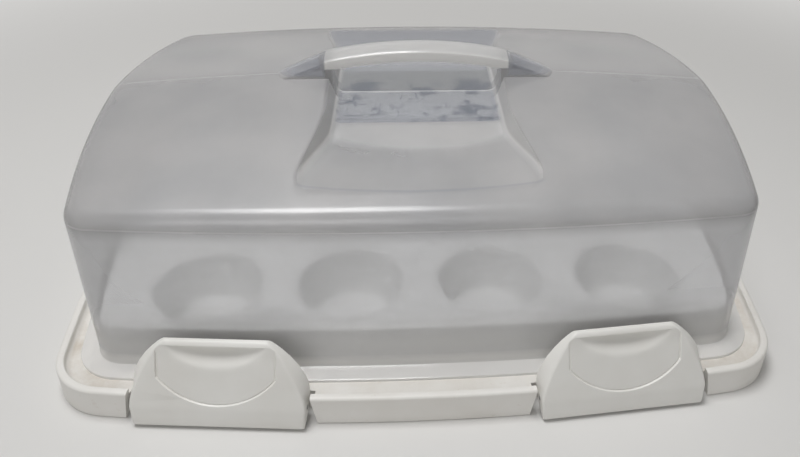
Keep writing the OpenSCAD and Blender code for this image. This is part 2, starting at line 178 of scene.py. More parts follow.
# Thumb scoop in a latch's face, and the finger hollow under its brim
SCOOP_HALF = 33.8
SCOOP_FOOT = 16.1
SCOOP_ARC = 45
SCOOP_BRIM = 49.2
SCOOP_STEP = 0.8
SCOOP_ROUND = 0.35
SCOOP_GROOVE = 0.5
SCOOP_FADE = 7
SCOOP_MIDDLE = 30
SCOOP_LIFT = 1.6
SCOOP_SHARES = (1, 0.988, 0.965, 0.93, 0.9, 0.86, 0.82, 0.77, 0.71, 0.64, 0.56, 0.47, 0.37, 0.26, 0.14, 0.02)
HOLLOW_DEPTH = 7
HOLLOW_HALF = 28
HOLLOW_HEIGHT = 12
HOLLOW_POWER = 1.25
BRIM_SLOPE = 0.6

# Rear clips, their hinge and notches
CLIP_PLACE = 0.1531 * TRAY_LENGTH
CLIP_HALF = 26
CLIP_INSET = 4.7
CLIP_FOOT = 5
CLIP_TOP = 21.2
CLIP_OUT = 5.8
CLIP_END = 21
CLIP_LIP = 6.5
CLIP_GAP = 0.1
CLIP_THICKNESS = 2.2
CLIP_EDGE = 0.7
CLIP_NOTCH_HALF = CLIP_HALF + 1
CLIP_NOTCH_DEPTH = 11.3
CLIP_LUG_PLACE = 17
CLIP_LUG_HALF = 3
KNUCKLE_RADIUS = 2.8
KNUCKLE_SPANS = ((-12.5, 12.5), (-25, -21.5), (21.5, 25))
PEG_PLACE = 14
PEG_INSET = 18


def linear(hex_colour):
    """Linear RGBA of an sRGB hex colour."""
    parts = [int(hex_colour[i : i + 2], 16) / 255 for i in (1, 3, 5)]
    return [c / 12.92 if c <= 0.04045 else ((c + 0.055) / 1.055) ** 2.4 for c in parts] + [1.0]


def between(x, points):
    """Value at x on the straight lines that join the points (x, value), flat beyond the ends."""
    if x <= points[0][0]:
        return points[0][1]
    for (x0, v0), (x1, v1) in zip(points, points[1:]):
        if x <= x1:
            return v0 + (v1 - v0) * (x - x0) / (x1 - x0)
    return points[-1][1]


def smooth_step(t):
    t = min(1.0, max(0.0, t))
    return t * t * (3 - 2 * t)


def spread(start, end, count):
    return [start + (end - start) * i / (count - 1) for i in range(count)]


# Meshes


def deselect_all():
    for thing in list(bpy.context.selected_objects):
        thing.select_set(False)


def select_only(piece):
    deselect_all()
    piece.select_set(True)
    bpy.context.view_layer.objects.active = piece


def loft(name, rings, place=Matrix()):
    """Closed form: a disc is laid on the first ring of points and extruded through the others."""
    deselect_all()
    bpy.ops.mesh.primitive_circle_add(vertices=len(rings[0]), fill_type="NGON", enter_editmode=True)
    piece = bpy.context.object
    piece.name = name
    shape = bmesh.from_edit_mesh(piece.data)
    laid = {}
    for index, (vertex, point) in enumerate(zip(shape.verts, rings[0])):
        vertex.co = Vector(point) * MM
        laid[tuple(vertex.co)] = index
    for ring in rings[1:]:
        bmesh.update_edit_mesh(piece.data)
        bpy.ops.mesh.extrude_region_move()
        shape = bmesh.from_edit_mesh(piece.data)
        before, laid = laid, {}
        for vertex in [v for v in shape.verts if v.select]:
            index = before[tuple(vertex.co)]
            vertex.co = Vector(ring[index]) * MM
            laid[tuple(vertex.co)] = index
    bmesh.update_edit_mesh(piece.data)
    bpy.ops.mesh.select_all(action="SELECT")
    bpy.ops.mesh.normals_make_consistent(inside=False)
    bpy.ops.object.mode_set(mode="OBJECT")
    piece.data.transform(place)
    return piece


def combine(piece, tool, operation):
    """Adds, cuts away or keeps what the tool covers, and removes the tool."""
    change = piece.modifiers.new("combine", "BOOLEAN")
    change.operation = operation
    change.object = tool
    change.solver = "EXACT"
    select_only(piece)
    bpy.ops.object.modifier_apply(modifier=change.name)
    bpy.data.objects.remove(tool)


def cut(piece, tool):
    combine(piece, tool, "DIFFERENCE")


def add(piece, tool):
    combine(piece, tool, "UNION")


def join(pieces):
    """One object from pieces that don't touch."""
    select_only(pieces[0])
    for piece in pieces[1:]:
        piece.select_set(True)
    bpy.ops.object.join()
    return pieces[0]


def dress(piece, body, material, nodes, smooth_angle=32):
    """Cleans and smooths a finished piece, gives it its material and puts it on its body."""
    select_only(piece)
    bpy.ops.object.mode_set(mode="EDIT")
    bpy.ops.mesh.select_all(action="SELECT")
    bpy.ops.mesh.remove_doubles(threshold=0.00001)
    bpy.ops.object.mode_set(mode="OBJECT")
    bpy.ops.object.shade_smooth_by_angle(angle=math.radians(smooth_angle))
    piece.data.materials.clear()
    piece.data.materials.append(material)
    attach(piece, body)
    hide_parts(*nodes)


def round_edges(piece, width):
    """Rounds the edges where a piece turns by more than 40 degrees."""
    change = piece.modifiers.new("round", "BEVEL")
    change.width = width * MM
    change.segments = 3
    change.limit_method = "ANGLE"
    change.angle_limit = math.radians(40)
    select_only(piece)
    bpy.ops.object.modifier_apply(modifier=change.name)


# Outlines of tray and lid


def bowed_side(half, reach, bow, r, count):
    """Points along a bowed side in front of the origin, from left to right, r outside its line."""
    points = []
    for t in spread(-1, 1, count + 1):
        slope = 2 * bow * t / half
        m = math.hypot(1, slope)
        points.append((half * t + r * slope / m, -reach - bow * (1 - t * t) - r / m))
    return points


def arc(centre, r, start, end, count):
    """Points along an arc, without its two ends; angles in degrees."""
    angles = [math.radians(a) for a in spread(start, end, count + 1)[1:-1]]
    return [(centre[0] + r * math.cos(a), centre[1] + r * math.sin(a)) for a in angles]


def bowed_outline(length, depth, bow_x, bow_y, corner, grow):
    """Bowed rectangle with round corners, grown outwards."""
    a = length / 2 - bow_x - corner
    b = depth / 2 - bow_y - corner
    r = corner + grow
    turn_x = math.degrees(math.atan(2 * bow_y / a))
    turn_y = math.degrees(math.atan(2 * bow_x / b))
    half = bowed_side(a, b, bow_y, r, 44)
    half += arc((a, -b), r, turn_x - 90, -turn_y, 14)
    half += [(-y, x) for x, y in bowed_side(b, a, bow_x, r, 28)]
    half += arc((a, b), r, turn_y, 90 - turn_x, 14)
    return half + [(-x, -y) for x, y in half]


def tray_ring(grow, z):
    outline = bowed_outline(TRAY_LENGTH, TRAY_DEPTH, TRAY_BOW_X, TRAY_BOW_Y, TRAY_CORNER, grow)
    return [(x, y, z) for x, y in outline]


def lid_outline(grow):
    return bowed_outline(LID_LENGTH, LID_DEPTH, LID_BOW_X, LID_BOW_Y, LID_CORNER, grow)


def lid_ring(grow, z):
    return [(x, y, z) for x, y in lid_outline(grow)]


def tray_side_y(x):
    """How far forward the tray's long side stands at x."""
    return TRAY_DEPTH / 2 - TRAY_BOW_Y * (x / (TRAY_LENGTH / 2 - TRAY_BOW_X - TRAY_CORNER)) ** 2


def latch_frame(side):
    """Frame of a front latch: X along the tray's outline, Y inwards from it."""
    half = TRAY_LENGTH / 2 - TRAY_BOW_X - TRAY_CORNER
    turn = math.atan(2 * TRAY_BOW_Y * LATCH_PLACE / half**2)
    place = Matrix.Translation(Vector((side * LATCH_PLACE, -tray_side_y(LATCH_PLACE), 0)) * MM)
    return place @ Matrix.Rotation(side * turn, 4, "Z")


def clip_frame(side):
    """Frame of a rear clip: X along the hinge line, Y inwards from it."""
    place = Matrix.Translation(Vector((side * CLIP_PLACE, tray_side_y(CLIP_PLACE) - CLIP_INSET, 0)) * MM)
    return place @ Matrix.Rotation(math.pi, 4, "Z")


def along(name, profile, start, end, place):
    """A flat profile of (inwards, up) points, drawn out along X from start to end."""
    rings = [[(x, y, z) for y, z in profile] for x in (start, end)]
    return loft(name, rings, place)


def disc(y, z, r, count=40):
    """Profile of a round bar or bore along X."""
    angles = [2 * math.pi * i / count for i in range(count)]
    return [(y + r * math.cos(a), z + r * math.sin(a)) for a in angles]


# Tray


def tray_body():
    """Rim, ledge and pan, still solid underneath."""
    quarter = spread(0, math.pi / 2, 5)
    rings = [tray_ring(-FOOT_EDGE, 0), tray_ring(0, FOOT_EDGE), tray_ring(0, RIM_HEIGHT - RIM_ROUND)]
    for turn in spread(0, math.pi / 2, 6)[1:]:
        inside = -RIM_ROUND * (1 - math.cos(turn))
        rings.append(tray_ring(inside, RIM_HEIGHT - RIM_ROUND * (1 - math.sin(turn))))
    rings.append(tray_ring(RIM_EDGE - RIM_WIDTH, RIM_HEIGHT))
    for turn in quarter[1:]:
        inside = RIM_EDGE * (1 - math.sin(turn)) - RIM_WIDTH
        rings.append(tray_ring(inside, RIM_HEIGHT - RIM_EDGE * (1 - math.cos(turn))))
    for turn in quarter:
        inside = -RIM_WIDTH - LEDGE_COVE * (1 - math.cos(turn))
        rings.append(tray_ring(inside, LEDGE_HEIGHT + LEDGE_COVE * (1 - math.sin(turn))))
    pan = PAN_GAP - INSERT_INSET
    for out, down in PAN_LIP:
        rings.append(lid_ring(pan + out, LEDGE_HEIGHT - down))
    for turn in spread(0, math.pi / 2, 4):
        inside = pan - PAN_COVE * (1 - math.cos(turn))
        rings.append(lid_ring(inside, TRAY_WALL + PAN_COVE * (1 - math.sin(turn))))
    return loft("tray_body", rings)


def latch_notch(side):
    """Room for a latch in the rim, wider at the foot."""
    foot, half, top = LATCH_NOTCH_HALF + LATCH_NOTCH_LEAN, LATCH_NOTCH_HALF, RIM_HEIGHT + 1
    corners = [(-foot, -1), (foot, -1), (half, top), (-half, top)]
    rings = [[(x, y, z) for x, z in corners] for y in (-PAST, LATCH_NOTCH_DEPTH)]
    return loft("notch", rings, latch_frame(side))


def clip_notch(side):
    depth, top = CLIP_NOTCH_DEPTH, RIM_HEIGHT + 2
    profile = [(-PAST, -1), (depth, -1), (depth, top), (-PAST, top)]
    return along("notch", profile, -CLIP_NOTCH_HALF, CLIP_NOTCH_HALF, clip_frame(side))


def solid_block(half, depth, place):
    """What stays solid around a notch, a wall's thickness wider and deeper than it."""
    half, depth, top = half + TRAY_WALL, depth + TRAY_WALL, LEDGE_HEIGHT + 2
    profile = [(-PAST, -2), (depth, -2), (depth, top), (-PAST, top)]
    return along("block", profile, -half, half, place)


def skirt_hollow():
    """Hollow under the ledge, between the skirt and the pan's wall, open at the foot."""
    hollow = loft("hollow", [tray_ring(-TRAY_WALL, -1), tray_ring(-TRAY_WALL, LEDGE_HEIGHT - TRAY_WALL)])
    pan = TRAY_WALL - INSERT_INSET + PAN_GAP
    cut(hollow, loft("pan", [lid_ring(pan, -2), lid_ring(pan, LEDGE_HEIGHT)]))
    for side in (-1, 1):
        cut(hollow, solid_block(LATCH_NOTCH_HALF + LATCH_NOTCH_LEAN, LATCH_NOTCH_DEPTH, latch_frame(side)))
        cut(hollow, solid_block(CLIP_NOTCH_HALF, CLIP_NOTCH_DEPTH, clip_frame(side)))
    return hollow


def lug(place, half, y, root, frame_of_lug):
    """Hinge lug around a pin y inwards, on the notch's back wall at root, place to one side of the middle."""
    r = PIN_RADIUS + LUG_SKIN
    turns = spread(math.pi / 2, 3 * math.pi / 2, 17)
    outline = [(y + r * math.cos(a), PIN_HEIGHT + r * math.sin(a)) for a in turns]
    outline += [(root + LUG_SINK, LEDGE_HEIGHT - TRAY_WALL - 1), (root + LUG_SINK, LEDGE_HEIGHT - 1)]
    return along("lug", outline, place - half, place + half, frame_of_lug)


def bore(y, r, half, place):
    return along("bore", disc(y, PIN_HEIGHT, r), -half, half, place)


def make_tray(material):
    """Tray with its skirt hollow, notches, hinge lugs and the bores for the pins."""
    tray = tray_body()
    cut(tray, skirt_hollow())
    for side in (-1, 1):
        cut(tray, latch_notch(side))
        cut(tray, clip_notch(side))
        for hand in (-1, 1):
            place = hand * LATCH_LUG_PLACE
            add(tray, lug(place, LATCH_LUG_HALF, PIN_INSET, LATCH_NOTCH_DEPTH, latch_frame(side)))
            add(tray, lug(hand * CLIP_LUG_PLACE, CLIP_LUG_HALF, 0, CLIP_NOTCH_DEPTH, clip_frame(side)))
        cut(tray, bore(PIN_INSET, PIN_RADIUS, LATCH_HALF, latch_frame(side)))
        cut(tray, bore(0, PIN_RADIUS, CLIP_HALF, clip_frame(side)))
    dress(tray, "base", material, ["base_tray"])


# Lid


def roof_height(x, y):
    """Height of the gabled roof, which is cambered from ridge to eaves and crowned from end to end."""
    s = min(1, math.hypot(y, RIDGE_SOFTNESS) / (LID_DEPTH / 2 - LID_DRAFT))
    c = 1 - min(1, abs(x) / (LID_LENGTH / 2)) ** 2
    gable = CORNER_HEIGHT + GABLE_RISE * (1 - s) + 4 * ROOF_CAMBER * s * (1 - s)
    return gable + c * (RIDGE_CROWN * (1 - s) + EAVE_CROWN * s)


def dome_ring(inset, drop, scale, t):
    """Ring on the roof, inset from the lid's outline and dropped below the roof, t inside the outer skin."""
    points = [(scale * x, scale * y) for x, y in lid_outline(-inset - t)]
    return [(x, y, roof_height(x, y) - drop - t) for x, y in points]


def dome_rings(t):
    """Wall, shoulder and roof, t inside the outer skin, from the wall's foot to the middle of the roof."""
    r = SHOULDER - t
    rings = []
    for turn in (math.radians(a) for a in spread(0, 90, 11)):
        rings.append(dome_ring(LID_DRAFT + r * (1 - math.cos(turn)), r * (1 - math.sin(turn)), 1, t))
    for scale in DOME_SCALES:
        rings.append(dome_ring(LID_DRAFT + r, 0, scale, t))
    return rings


def wall_rings(foot, dome):
    """Rings between the foot ring and the first ring of the dome."""
    return [[tuple(a + (b - a) * t for a, b in zip(p, q)) for p, q in zip(foot, dome)] for t in WALL_SHARES]


def recess_half_width(y):
    """Half width of the recess floor, which flares from the bar to the mouth."""
    flat, mouth = RECESS_ROWS[1], RECESS_ROWS[3]
    return RECESS_HALF + RECESS_FLARE * smooth_step((abs(y) - flat) / (mouth - flat))


def recess_ring(k, t):
    """Cross ring of the finger recess at row k, counted from the bar; t is the wall's thickness."""
    ring = []
    row = abs(k)
    heights = (RECESS_FLOOR, RECESS_FLOOR, RECESS_VALLEY, RECESS_MOUTH, RECESS_MOUTH + 1)
    z = between(row, list(enumerate(heights)))
    for c in (*RECESS_ACROSS, 0, *(-c for c in reversed(RECESS_ACROSS))):
        bows = (0, 0, VALLEY_BOW, MOUTH_BOW, 0)
        y = between(row, [(i, y - bow * c * c) for i, (y, bow) in enumerate(zip(RECESS_ROWS, bows))])
        edge = max(0, (abs(c) - RECESS_FLAT) / (1 - RECESS_FLAT))
        lift = RECESS_CORNER * (1 - math.sqrt(1 - min(1, edge * edge)))
        ring.append((c * (recess_half_width(y) + t), math.copysign(y, k), z - t + lift))
    top = BAR_TOP + 10
    up = top - z + t - RECESS_CORNER
    y = ring[0][1]
    for hand in (-1, 1):
        ring.append((hand * (recess_half_width(y) + t + RECESS_SLOPE * up), y, top))
    return ring


def recess(t):
    """The finger recess, open to the front and back; its middle row is set just off 0 to keep a sign."""
    rows = [-4]
    stations, counts = (-4, -3, -2, -1, 1, 2, 3, 4), (4, 13, 9, 17, 9, 13, 4)
    for start, end, count in zip(stations, stations[1:], counts):
        rows += spread(start, end, count)[1:]
    return loft("recess", [recess_ring(k if k else 1e-9, t) for k in rows])


def bar_height(x):
    return BAR_TOP - BAR_ARCH * (x / BAR_HALF) ** 2


def fin_height(x):
    e = (abs(x) - BAR_HALF) / (FIN_HALF - BAR_HALF)
    return bar_height(BAR_HALF) * (1 - e) + (roof_height(FIN_HALF, 0) + 1) * e


def fin_depth(x):
    """Depth of a fin, which draws in a little and ends round in plan."""
    depth = BAR_DEPTH - FIN_TAPER * max(0, (abs(x) - BAR_HALF) / (FIN_HALF - BAR_HALF))
    tip = max(0, (abs(x) - FIN_HALF + FIN_TIP) / FIN_TIP)
    return depth * (FIN_END + (1 - FIN_END) * math.sqrt(max(0, 1 - tip * tip)))


def bar_section(x, top, bottom, depth):
    """Cross section at x: crowned on top, its long edges slightly round."""
    half = depth / 2
    fall = BAR_CROWN * BAR_CROWN_SHARE
    crown = [(y, top - fall * (y / half) ** 2) for y in spread(half - BAR_EDGE, BAR_EDGE - half, 13)]
    side = top - BAR_CROWN - 0.4
    right = [(half, bottom), (half, side), (half - 0.3, top - fall - 0.1)]
    left = [(-y, z) for y, z in reversed(right)]
    return [(x, y, z) for y, z in right + crown + left]


def bar():
    xs = spread(-BAR_HALF, BAR_HALF, 33)
    thick = BAR_CROWN + BAR_THICKNESS
    return loft("bar", [bar_section(x, bar_height(x), bar_height(x) - thick, BAR_DEPTH) for x in xs])


def fin(hand, t):
    """Fin that carries one end of the bar and runs out on the roof, t inside its outer skin."""
    rings = []
    for x in spread(BAR_HALF - 4, FIN_HALF - FIN_TIP, 8) + spread(FIN_HALF - FIN_TIP, FIN_HALF - t, 8)[1:]:
        top = bar_height(x) if x < BAR_HALF else fin_height(x)
        rings.append(bar_section(hand * x, top - t, roof_height(x, 0) - FIN_ROOT, fin_depth(x) - 2 * t))
    return loft("fin", rings)


def make_lid(material):
    """Lid with its flange, recess, bar and fins, hollow to a wall's thickness."""
    flange = [
        lid_ring(FLANGE_WIDTH - 0.4, LEDGE_HEIGHT),
        lid_ring(FLANGE_WIDTH, LEDGE_HEIGHT + 0.4),
        lid_ring(FLANGE_WIDTH, FLANGE_TOP - FLANGE_EDGE),
        lid_ring(FLANGE_WIDTH - 0.25, FLANGE_TOP - 0.25),
        lid_ring(FLANGE_WIDTH - FLANGE_EDGE, FLANGE_TOP),
        lid_ring(1.5, FLANGE_TOP),
        lid_ring(0.4, FLANGE_TOP + 0.4),
    ]
    foot = lid_ring(-0.05, FLANGE_TOP + 1.5)
    dome = dome_rings(0)
    lid = loft("lid_shell", flange + [foot] + wall_rings(foot, dome[0]) + dome)
    cut(lid, recess(0))
    add(lid, bar())
    for hand in (-1, 1):
        add(lid, fin(hand, 0))
    foot = lid_ring(-LID_WALL, LEDGE_HEIGHT - 1)
    dome = dome_rings(LID_WALL)
    inside = loft("inside", [foot] + wall_rings(foot, dome[0]) + dome)
    for hand in (-1, 1):
        add(inside, fin(hand, LID_WALL))
    cut(inside, recess(LID_WALL))
    cut(lid, inside)
    dress(lid, "lid", material, ["lid"])


# Insert


def level_circle(x, y, r, z, count=60):
    angles = [2 * math.pi * i / count for i in range(count)]
    return [(x + r * math.cos(a), y + r * math.sin(a), z) for a in angles]


def well_radius(z):
    """Radius of a well, which narrows towards its bottom."""
    return WELL_FOOT + (WELL_RADIUS - WELL_FOOT) * (z - DECK_HEIGHT + WELL_DEPTH) / WELL_DEPTH


def well_cup(x, y):
    """Outside of a well, with the low round bead that stands on the deck around it."""
    foot = DECK_HEIGHT - WELL_DEPTH - INSERT_WALL
    top = DECK_HEIGHT - 0.5
    profile = [(WELL_FOOT - 2, foot), (WELL_FOOT + 0.4, foot + 0.5), (WELL_FOOT + 1.8, foot + 2.2)]
    profile += [(well_radius(top) + INSERT_WALL, top - 1), (BEAD_PLACE + BEAD_RADIUS, top)]
    for turn in spread(0, math.pi, 9):
        out, up = BEAD_RADIUS * math.cos(turn), BEAD_RADIUS * math.sin(turn)
        profile.append((BEAD_PLACE + out, DECK_HEIGHT + up))
    profile += [(BEAD_PLACE - BEAD_RADIUS - 0.1, top)]
    return loft("cup", [level_circle(x, y, r, z) for r, z in profile])


def well_cavity(x, y):
    """Inside of a well, from its flat bottom over a round foot to the round lip at the deck."""
    foot = DECK_HEIGHT - WELL_DEPTH
    profile = []
    for turn in spread(math.pi / 2, 0, 5):
        r = WELL_FOOT + 0.7 - WELL_ROUND * (1 - math.cos(turn))
        profile.append((r, foot + WELL_ROUND * (1 - math.sin(turn))))
    low = DECK_HEIGHT - WELL_LIP
    for turn in spread(0, math.pi / 2, 6):
        profile.append((well_radius(low) + WELL_LIP * (1 - math.cos(turn)), low + WELL_LIP * math.sin(turn)))
    profile.append((well_radius(low) + WELL_LIP, DECK_HEIGHT + 1))
    return loft("cavity", [level_circle(x, y, r, z) for r, z in profile])


def make_insert(material):
    """Insert: a deck on a skirt that stands in the pan, with its wells."""
    skirt = [lid_ring(-INSERT_INSET, TRAY_WALL), lid_ring(-INSERT_INSET, DECK_HEIGHT - INSERT_EDGE)]
    for turn in spread(0, math.pi / 2, 6)[1:]:
        inside = -INSERT_INSET - INSERT_EDGE * (1 - math.cos(turn))
        skirt.append(lid_ring(inside, DECK_HEIGHT - INSERT_EDGE * (1 - math.sin(turn))))
    insert = loft("insert", skirt)
    inner = -INSERT_INSET - INSERT_WALL
    cut(insert, loft("hollow", [lid_ring(inner, 0), lid_ring(inner, DECK_HEIGHT - INSERT_WALL)]))
    places = [
        ((i - (WELL_COLUMNS - 1) / 2) * WELL_PITCH_X, (j - (WELL_ROWS - 1) / 2) * WELL_PITCH_Y)
        for i in range(WELL_COLUMNS)
        for j in range(WELL_ROWS)
    ]
    add(insert, join([well_cup(x, y) for x, y in places]))
    cut(insert, join([well_cavity(x, y) for x, y in places]))
    dress(insert, "cupcake_tray", material, ["cupcake_tray"])


# Latches


def rounded(corners, radii, steps=4):
    """Polygon with each corner (x, y) turned into a curve that starts and ends radius away from it."""
    points = []
    count = len(corners)
    for i, (corner, radius) in enumerate(zip(corners, radii)):
        c, before, after = (Vector(p) for p in (corner, corners[i - 1], corners[(i + 1) % count]))
        start = c + (before - c).normalized() * min(radius, (before - c).length * 0.45)
        end = c + (after - c).normalized() * min(radius, (after - c).length * 0.45)
        for t in spread(0, 1, steps + 1):
            points.append(tuple(start * (1 - t) ** 2 + c * 2 * t * (1 - t) + end * t * t))
    return points


# Distance inwards of a latch's face and back, and its half widths at the back and at the face, by height
LATCH_FACE = (
    (1.6, -4.2), (2.1, -4.9), (2.8, -5.2), (5, -5.3), (14, -3.2), (24, 0.4),
    (36, 5), (49, 10.4), (50.2, 11), (51, 11.7), (51.5, 12.7),
)
LATCH_BACK = (
    (1.6, -3.2), (4, -1.5), (8.5, 3), (12, 5.8), (16, 6),
    (17, 11), (34, 11.6), (44, 13.4), (50.9, 14.9), (51.5, 14.4),
)
LATCH_BACK_HALF = (
    (0, 48.8), (1.6, 49.2), (6, 50.2), (12, 50.8), (18, 51), (24, 50.6), (30, 48.8),
    (36, 45.8), (42, 41.2), (46, 37.2), (49, 33.6), (50.5, 31.4), (51.5, 29.4),
)
LATCH_FACE_HALF = (
    (0, 48.2), (1.6, 48.7), (14, 50), (19, 49.3), (31, 44.4),
    (42, 38), (46, 35.2), (49, 32.4), (50.5, 30.6), (51.5, 28.8),
)
LATCH_HEIGHTS = (
    1.6, 2.1, 2.8, 5, 8.5, 12, 14, 16, 17, 20, 24, 27, 30, 33, 36, 39, 42, 44, 46, 47.5, 49, 50.2, 51, 51.5,
)


def latch_section(z):
    """Level section of a latch at height z: flat face, slanted cheeks, flat back."""
    face, back = between(z, LATCH_FACE), between(z, LATCH_BACK)
    e, h = between(z, LATCH_FACE_HALF), between(z, LATCH_BACK_HALF)
    outline = rounded([(-e, face), (e, face), (h, back), (-h, back)], LATCH_ROUNDS)
    return [(u, y, z) for u, y in outline]


def latch_hollow_section(z):
    """The same section, a skin's thickness inside and open at the back."""
    face, back = between(z, LATCH_FACE) + LATCH_SKIN, between(z, LATCH_BACK)
    e, h = between(z, LATCH_FACE_HALF) - LATCH_SKIN, between(z, LATCH_BACK_HALF) - LATCH_SKIN
    back = max(back, face + 0.5)
    corners = [(-e, face), (e, face), (h, back), (h, LATCH_HALF), (-h, LATCH_HALF), (-h, back)]
    return [(u, y, z) for u, y in corners]


def scoop_outline(grow, lift):
    """Outline of the thumb scoop on the latch's face: straight sides and brim, and a round foot."""
    half, r = SCOOP_HALF + grow, SCOOP_ARC + grow
    centre = SCOOP_FOOT + SCOOP_ARC
    start = math.acos(half / r)
    side = centre - r * math.sin(start)
    top = SCOOP_BRIM + lift
    points = [(half, z) for z in spread(top, side, 7)[:-1]]
    points += [(r * math.cos(a), centre + r * math.sin(a)) for a in spread(-start, start - math.pi, 41)]
    points += [(-half, z) for z in spread(side, top, 7)[1:]]
    points += [(u, top) for u in spread(-half, half, 33)[1:-1]]
    return points


def scoop_depth(u, z, roof):
    """Depth of the scoop: a small step that fades towards the brim, and a finger hollow under the roof."""
    fade = min(1, 0.1 + max(0, SCOOP_BRIM - z) / SCOOP_FADE)
    down = max(0, SCOOP_BRIM - z) / HOLLOW_HEIGHT
    hollow = max(0, 1 - (u / HOLLOW_HALF) ** 2 - down * down) ** HOLLOW_POWER
    under_brim = max(0, roof - z) / BRIM_SLOPE
    return SCOOP_STEP * fade + min(under_brim, HOLLOW_DEPTH * hollow)


def scoop(t, front):
    """Body of the scoop, t behind its surface, from front millimetres inside the face."""
    lift = min(t, SCOOP_LIFT)
    rings = []
    if t == 0:
        rim = [(u, between(z, LATCH_FACE), z) for u, z in scoop_outline(SCOOP_ROUND, 0.1)]
        rings = [[(u, face + front, z) for u, face, z in rim], rim]
        edge = [(u, z, 0.8 * scoop_depth(u, z, SCOOP_BRIM)) for u, z in scoop_outline(0, 0)]
        rings.append([(u, between(z, LATCH_FACE) + depth, z) for u, z, depth in edge])
    for f in SCOOP_SHARES:
        ring = []
        for u, z in scoop_outline(t, lift):
            u, z = u * f, SCOOP_MIDDLE + (z - SCOOP_MIDDLE) * f
            if t:
                within = between(z, LATCH_FACE_HALF) - LATCH_SKIN / 2
                u = max(-within, min(within, u))
            groove = SCOOP_GROOVE if f > 0.98 and z < SCOOP_BRIM - 4 else 0
            ring.append((u, between(z, LATCH_FACE) + scoop_depth(u, z, SCOOP_BRIM + lift) + groove + t, z))
        if not rings:
            rings.append([(u, between(z, LATCH_FACE) + front, z) for u, y, z in ring])
        rings.append(ring)
    return loft("scoop", rings)


def make_latch(side, name, material):
    """Latch with its scoop, hollow from behind, with ribs and eyes on the pin and a hook for the flange."""
    here = Matrix()
    latch = loft(name, [latch_section(z) for z in LATCH_HEIGHTS])
    add(latch, scoop(LATCH_SKIN, 1))
    cut(latch, scoop(0, -20))
    heights = [-1] + [z for z in LATCH_HEIGHTS if z < LATCH_TOP - LATCH_SKIN]
    hollow = loft("hollow", [latch_hollow_section(z) for z in heights])
    cut(hollow, scoop(LATCH_SKIN, 0.9))
    cut(latch, hollow)
    low, high = HOOK_HEIGHT, HOOK_HEIGHT + HOOK_THICKNESS
    foot, head = [(between(z, LATCH_FACE) + LATCH_SKIN / 2, z) for z in RIB_HEIGHTS]
    rib = [foot, (PIN_INSET, PIN_HEIGHT - EYE_RADIUS), (PIN_INSET + EYE_RADIUS, PIN_HEIGHT)]
    rib += [(HOOK_ROOT, high), head]
    for hand in (-1, 1):
        start, end = hand * RIB_PLACE - RIB_HALF, hand * RIB_PLACE + RIB_HALF
        add(latch, along("rib", rib, start, end, here))
        add(latch, along("eye", disc(PIN_INSET, PIN_HEIGHT, EYE_RADIUS), start, end, here))
    plate = [(between(low, LATCH_FACE) + 1, low), (HOOK_ROOT, low), (HOOK_ROOT, high)]
    plate += [(between(high, LATCH_FACE) + 1, high)]
    add(latch, along("plate", plate, -RIB_PLACE, RIB_PLACE, here))
    root, reach = HOOK_ROOT - 1, hook_reach(side, name)
    hook = rounded([(root, low), (reach, low), (reach, high), (root, high)], [0.2, 0.9, 0.9, 0.2])
    add(latch, along("hook", hook, -HOOK_HALF, HOOK_HALF, here))
    cut(latch, bore(PIN_INSET, PIN_RADIUS + PIN_PLAY, LATCH_HALF + 1, here))
    latch.data.transform(latch_frame(side))
    dress(latch, name, material, [name], 28)


def hook_reach(side, name):
    """How far in from the tray's outline the hook ends, read from the CAD latch."""
    inwards = latch_frame(side).inverted()
    return max((inwards @ vertex.co).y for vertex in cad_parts[name].data.vertices) / MM


# Rear clips


def make_clip(side, name, material):
    """Clip round the lid's rear flange, with three knuckles on the hinge pin and two pegs in the flange."""
    here = Matrix()
    out, foot, top, end, thick = CLIP_OUT, CLIP_FOOT, CLIP_TOP, CLIP_END, CLIP_THICKNESS
    seat = FLANGE_TOP + CLIP_GAP
    lip = end - CLIP_LIP
    corners = [
        (thick - out, foot + 0.4), (-0.86 * out, foot), (-out, 1.2 * foot), (-out, 0.61 * top),
        (-0.84 * out, 0.83 * top), (-out / 2, 0.96 * top), (0, top), (end, top), (end, seat), (lip, seat),
        (lip, top - thick), (-0.17 * out, top - thick), (-0.45 * out, 0.8 * top), (thick - out, 0.6 * top),
    ]
    radii = [0.4, 0.8, 0.8, 3, 2, 2, 3, 1, 0.4, 0.4, 0.8, 2, 2, 3]
    clip = along(name, rounded(corners, radii), -CLIP_HALF, CLIP_HALF, here)
    round_edges(clip, CLIP_EDGE)
    r = KNUCKLE_RADIUS
    knuckle = [(0, PIN_HEIGHT - r), (-0.7 * out, PIN_HEIGHT - r), (-0.7 * out, 0.75 * top)]
    knuckle += [(-0.17 * out, top - 1), (r, top - 1), (r, PIN_HEIGHT)]
    for start, stop in KNUCKLE_SPANS:
        add(clip, along("knuckle", knuckle, start, stop, here))
        add(clip, along("eye", disc(0, PIN_HEIGHT, r), start, stop, here))
    profile = ((1.6, LEDGE_HEIGHT + 0.1), (2, LEDGE_HEIGHT + 0.6), (2, top - 1))
    for hand in (-1, 1):
        peg = [level_circle(hand * PEG_PLACE, PEG_INSET, r, z, 24) for r, z in profile]
        add(clip, loft("peg", peg))
    cut(clip, bore(0, PIN_RADIUS + PIN_PLAY, CLIP_HALF + 1, here))
    clip.data.transform(clip_frame(side))
    dress(clip, "lid", material, [name])


# Materials

TIMES = {"operation": "MULTIPLY"}
TIMES_PLUS = {"operation": "MULTIPLY_ADD"}
SUM = {"operation": "ADD"}
MINUS = {"operation": "SUBTRACT"}
SIZE = {"operation": "ABSOLUTE"}
LARGER = {"operation": "MAXIMUM"}
SOFT = {"interpolation_type": "SMOOTHSTEP"}
COLOURS = {"data_type": "RGBA"}


